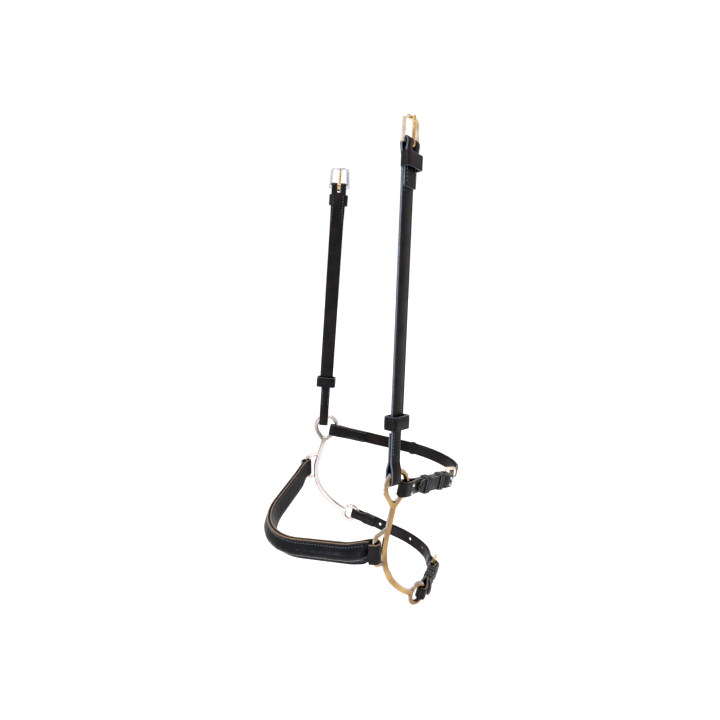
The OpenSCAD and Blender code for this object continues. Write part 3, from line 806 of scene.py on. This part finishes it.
def nose_at(d):
    """Point and angle of the band's middle line at distance d from the front."""
    a = min(d, nose_arc) / NOSE_R
    if d <= nose_arc:
        return Vector((NOSE_R * math.sin(a), nose_c - NOSE_R * math.cos(a))), a
    e = d - nose_arc
    base = Vector((NOSE_R * math.sin(NOSE_SPREAD), nose_c - NOSE_R * math.cos(NOSE_SPREAD)))
    along = Vector((math.cos(NOSE_SPREAD), math.sin(NOSE_SPREAD)))
    if e <= nose_line:
        return base + along * e, NOSE_SPREAD
    base = base + along * nose_line
    b = NOSE_SPREAD + (e - nose_line) / NOSE_END_R
    return base + NOSE_END_R * Vector((
        math.sin(b) - math.sin(NOSE_SPREAD), math.cos(NOSE_SPREAD) - math.cos(b))), b


def nose_frame(d, off):
    """Frame at signed distance d from the front; the band leans, and stands upright at the slots."""
    s = -1 if d < 0 else 1
    p, a = nose_at(abs(d))
    flat = Vector((s * (p.x + off * math.sin(a)), p.y - off * math.cos(a), 0))
    lift = smooth_step((abs(d) - nose_half + 24) / 22)
    basis = nose_place.to_3x3()
    n = basis @ Vector((s * math.sin(a), -math.cos(a), 0))
    up = (basis @ Vector((0, 0, 1))).lerp(Vector((0, 0, 1)), lift).normalized()
    n = (n - up * n.dot(up)).normalized()
    t = up.cross(n).normalized()
    return (nose_place @ flat + Vector((0, 0, NOSE_DROP * lift)), t, up, n)


def share_of_fill(d):
    """How full the padding is at distance d from the front, from 1 down to 0 at its ends."""
    return smooth_step((pad_end - abs(d)) / 5)


def noseband():
    # lining: from the turned tail of one loop to the other
    base = -NOSE_T / 2 + NOSE_BACK_T / 2
    stop = nose_half - LINING_GAP
    middle = [nose_frame(-stop + 2 * stop * i / 150, base) for i in range(151)]
    frames = list(middle)
    r = LOOP_R + NOSE_BACK_T / 2 + 0.05
    up = Vector((0, 0, 1))
    for s in (1, -1):
        bar = side_frame(s) @ Vector((0, SLOT_U, SLOT_MID))
        p, t, w, n = frames[-1] if s > 0 else frames[0]
        out = Vector((n.x, n.y, 0)).normalized()
        away = Vector((t.x, t.y, 0)).normalized() * s
        loop = []
        for i in range(21):
            a = math.pi * i / 20
            m = (-out * math.cos(a) + away * math.sin(a)).normalized()
            d = (away * math.cos(a) + out * math.sin(a)).normalized()
            loop.append((bar + m * r, d * s, up, -m))
        tail = [(bar + out * r - away * 0.65 * k, -away * s, up, -out) for k in range(1, 7)]
        # the lining's face normal looks towards the filling, so it turns inwards round the bar
        if s > 0:
            frames = frames + loop + tail
        else:
            frames = (loop + tail)[::-1] + frames
    total = length_of(frames)

    def width(share):
        d = abs(share - 0.5) * 2
        reach = stop / (total / 2)
        return (NOSE_H - 1) + (SLOT_LEATHER_H - NOSE_H + 1) * smooth_step((d - reach + 0.2) / 0.2)

    lining = sweep("noseband_lining_leather", frames, width, (lining_skin, tan_edge), NOSE_BACK_T, 1.4,
                   inner_edge=True)
    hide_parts("noseband_lining")
    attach(lining, "harness")

    # cover: a flat sewn edge above and below a padded roll
    start = -NOSE_T / 2 + NOSE_BACK_T + 0.1
    rings = []
    section = [(0, 6.7, 1), (1.6, 6.35, 1), (3.0, 5.3, 1), (4.2, 3.75, 1), (5.1, 2.3, 1), (5.7, 1.45, 0.6),
               (6.15, 1.3, 0), (6.6, 1.55, 0), (7.4, 1.72, 0), (8.5, 1.7, 0)]
    rim = [(8.85, 1.5, 0), (9.0, 1.1, 0), (9.0, 0.4, 0), (8.8, 0.0, 0)]
    back = [(6.0, 0, 0), (0, 0, 0)]
    upper = section + rim + back
    profile = upper + [(-h, o, f) for h, o, f in upper[-2:0:-1]]
    flags = [1 if abs(h) > 8.82 and 0.3 < o < 1.6 else 0 for h, o, f in profile]
    steps = 180
    for i in range(steps + 1):
        d = -pad_end + 2 * pad_end * i / steps
        p, t, w, n = nose_frame(d, start)
        full = share_of_fill(d)
        ends = 1 - 0.12 * (1 - full)
        # the filling is slightly uneven along the band
        ripple = 1 + 0.018 * math.sin(d * 0.37) + 0.012 * math.sin(d * 0.91 + 1)
        ring = []
        for h, o, f in profile:
            puff = 1.65 + (o - 1.65) * full * ripple if f and o > 1.65 else o
            ring.append(p + w * h * ends + n * puff)
        rings.append(ring)
    cover = loft("noseband_cover_leather", rings, flags, (nose_skin, tan_edge))
    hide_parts("noseband_cover", "noseband_filling")
    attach(cover, "harness")

    rows = []
    line = [nose_frame(-pad_end + 3 + (2 * pad_end - 6) * i / 200, start) for i in range(201)]
    inner = [nose_frame(-pad_end + 3 + (2 * pad_end - 6) * i / 200, base) for i in range(201)]
    for across in (-6.2, 6.2):
        rows.append(row_on(line, across, 1.42))
        rows.append(row_on(inner, across, -NOSE_BACK_T / 2 - 0.05))
    stitches("noseband_stitches", rows, "harness", 2.7, 2.0, 0.3)


noseband()

# ---------------------------------------------------------------- metal from the CAD

finish_of = {
    "near_side_piece": near_steel, "far_side_piece": far_steel,
    "near_top_buckle": pale_gilt, "far_top_buckle": nickel,
    "near_top_tongue": gilt, "far_top_tongue": gilt,
    "jaw_buckle": pale_gilt, "jaw_tongue": nickel, "jaw_rivets": nickel,
    "chin_buckle": gilt, "chin_tongue": gilt, "chin_rivets": gilt,
}
for name, material in finish_of.items():
    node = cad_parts[name]
    node.data.materials.clear()
    node.data.materials.append(material)

# ---------------------------------------------------------------- floor, light and camera


def area_light(name, place, aim, size, power, colour):
    light = bpy.data.lights.new(name, "AREA")
    light.shape = "RECTANGLE"
    light.size, light.size_y = size
    light.energy = power
    light.color = colour
    holder = bpy.data.objects.new(name, light)
    holder.location = place
    holder.rotation_euler = (Vector(aim) - Vector(place)).to_track_quat("-Z", "Y").to_euler()
    bpy.context.scene.collection.objects.link(holder)


bm = bmesh.new()
bmesh.ops.create_grid(bm, x_segments=2, y_segments=2, size=40)
mesh = bpy.data.meshes.new("floor")
bm.to_mesh(mesh)
bm.free()
floor = bpy.data.objects.new("floor", mesh)
floor.location = (0, 0, cad_box[0].z - 0.5)
bpy.context.scene.collection.objects.link(floor)
pale, _, _, shader, _ = new_material("pale_floor")
shader.inputs["Base Color"].default_value = (0.93, 0.93, 0.93, 1)
shader.inputs["Roughness"].default_value = 0.9
mesh.materials.append(pale)

# A white studio that is dimmer and warmer on the near side, so that the steel has something to reflect
world = bpy.data.worlds.new("studio")
bpy.context.scene.world = world
world.use_nodes = True
nodes, links = world.node_tree.nodes, world.node_tree.links
split = nodes.new("ShaderNodeSeparateXYZ")
links.new(nodes.new("ShaderNodeTexCoord").outputs["Generated"], split.inputs["Vector"])
side_share = nodes.new("ShaderNodeMapRange")
side_share.inputs["From Min"].default_value = -1
links.new(split.outputs["X"], side_share.inputs["Value"])
walls = ramp(nodes, links, side_share.outputs["Result"],
             [(0.45, (1, 1, 1)), (0.68, (0.86, 0.85, 0.84)), (1.0, (0.82, 0.81, 0.80))])
links.new(walls, nodes["Background"].inputs["Color"])
nodes["Background"].inputs["Strength"].default_value = 1.05

area_light("key", (0.3, -1.3, 0.35), (0, 0, -0.2), (0.3, 0.8), 9, (0.72, 0.86, 1))
area_light("low", (0.7, -1.0, -0.62), (0, -0.05, -0.32), (0.5, 0.15), 3, (0.95, 0.95, 1))
area_light("fill", (1.3, 0.6, 0.3), (0, 0, -0.2), (0.6, 0.6), 2, (1, 0.95, 0.9))
# broad light straight down, which keeps the whole floor pale
sky = bpy.data.lights.new("sky", "SUN")
sky.energy = 1.35
sky.angle = 1.2
sky_holder = bpy.data.objects.new("sky", sky)
bpy.context.scene.collection.objects.link(sky_holder)
bpy.context.scene.view_settings.view_transform = "Standard"

camera_data = bpy.data.cameras.new("camera")
camera_data.lens = 22
camera_data.sensor_width = 36
camera_data.clip_start = 0.01
camera_data.clip_end = 100
camera = bpy.data.objects.new("camera", camera_data)
camera.location = (0.3496, -0.1570, -0.0995)
camera.rotation_euler = (math.radians(90 - 8.89), 0, math.radians(66.74))
bpy.context.scene.collection.objects.link(camera)
bpy.context.scene.camera = camera
